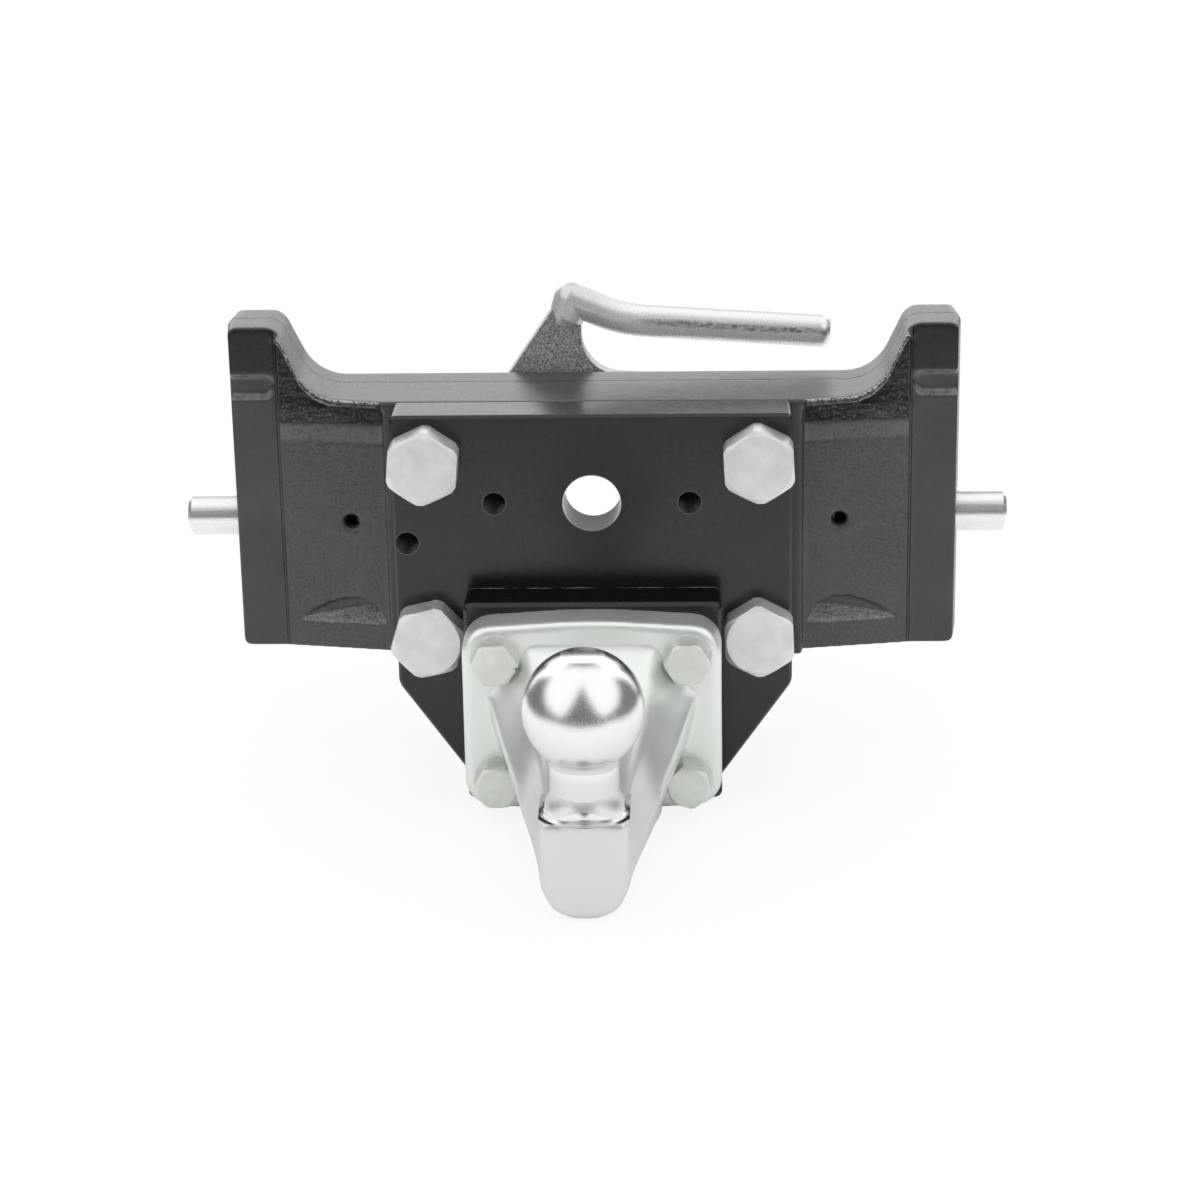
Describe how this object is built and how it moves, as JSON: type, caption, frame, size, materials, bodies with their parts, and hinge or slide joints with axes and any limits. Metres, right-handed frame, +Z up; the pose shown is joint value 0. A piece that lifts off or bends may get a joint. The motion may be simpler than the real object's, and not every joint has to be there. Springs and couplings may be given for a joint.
{
  "type": "height-adjustable ball hitch",
  "caption": "Sliding hitch carriage with sprung side locking pins worked by a hand lever, a thick bolted plate, a spacer block and a forged ball bracket.",
  "frame": {"origin": "centre of the plate's bore, on the plate's front face", "axes": "+X to the right as seen by someone facing the ball, +Y away from the ball towards the tractor, +Z up"},
  "size_m": [0.367, 0.2389, 0.2106],
  "materials": {
    "casting_paint": "satin black paint over cast iron",
    "plate_paint": "satin black paint over steel plate",
    "block_paint": "satin black paint over steel",
    "bracket_zinc": "bright zinc plating, polished ball",
    "bolt_zinc": "matte zinc plating",
    "washer_zinc": "zinc plating",
    "pin_zinc": "bright zinc plating",
    "handle_zinc": "bright zinc plating",
    "lever_zinc": "grained galvanised plate",
    "ring_steel": "plain steel",
    "spring_steel": "oiled spring wire"
  },
  "bodies": {
    "carrier": {"carrier_casting": "casting_paint", "mounting_plate": "plate_paint", "spacer_block": "block_paint", "ball_bracket": "bracket_zinc", "carrier_bolts": "bolt_zinc", "flange_bolts": "bolt_zinc", "spring_washers": "washer_zinc", "hub_thrust_washer": "ring_steel", "hub_cover_washer": "ring_steel", "hub_retaining_ring": "ring_steel", "left_pin_spring": "spring_steel", "right_pin_spring": "spring_steel"},
    "lever": {"lever_plate": "lever_zinc", "handle_bar": "handle_zinc", "handle_weld": "handle_zinc"},
    "left_pin": {"left_locking_pin": "pin_zinc", "left_drive_peg": "pin_zinc", "left_spring_clip": "ring_steel", "left_spring_washer": "ring_steel"},
    "right_pin": {"right_locking_pin": "pin_zinc", "right_drive_peg": "pin_zinc", "right_spring_clip": "ring_steel", "right_spring_washer": "ring_steel"}
  },
  "joints": [
    {"name": "lever_turn", "type": "hinge", "parent": "carrier", "child": "lever", "pos_m": [0, 0.0755, -0.021], "axis": [0, -1, 0], "range_deg": [0, 45]},
    {"name": "left_pin_slide", "type": "slide", "parent": "carrier", "child": "left_pin", "axis": [1, 0, 0], "range_m": [0, 0.025], "stiffness_N_per_m": 800, "springref_m": -0.015, "deforming": ["left_pin_spring"]},
    {"name": "right_pin_slide", "type": "slide", "parent": "carrier", "child": "right_pin", "axis": [-1, 0, 0], "range_m": [0, 0.025], "stiffness_N_per_m": 800, "springref_m": -0.015, "deforming": ["right_pin_spring"]}
  ],
  "couplings": [
    {"joint": "left_pin_slide", "follows": "lever_turn", "m_per_rad": 0.031831},
    {"joint": "right_pin_slide", "follows": "lever_turn", "m_per_rad": 0.031831}
  ]
}
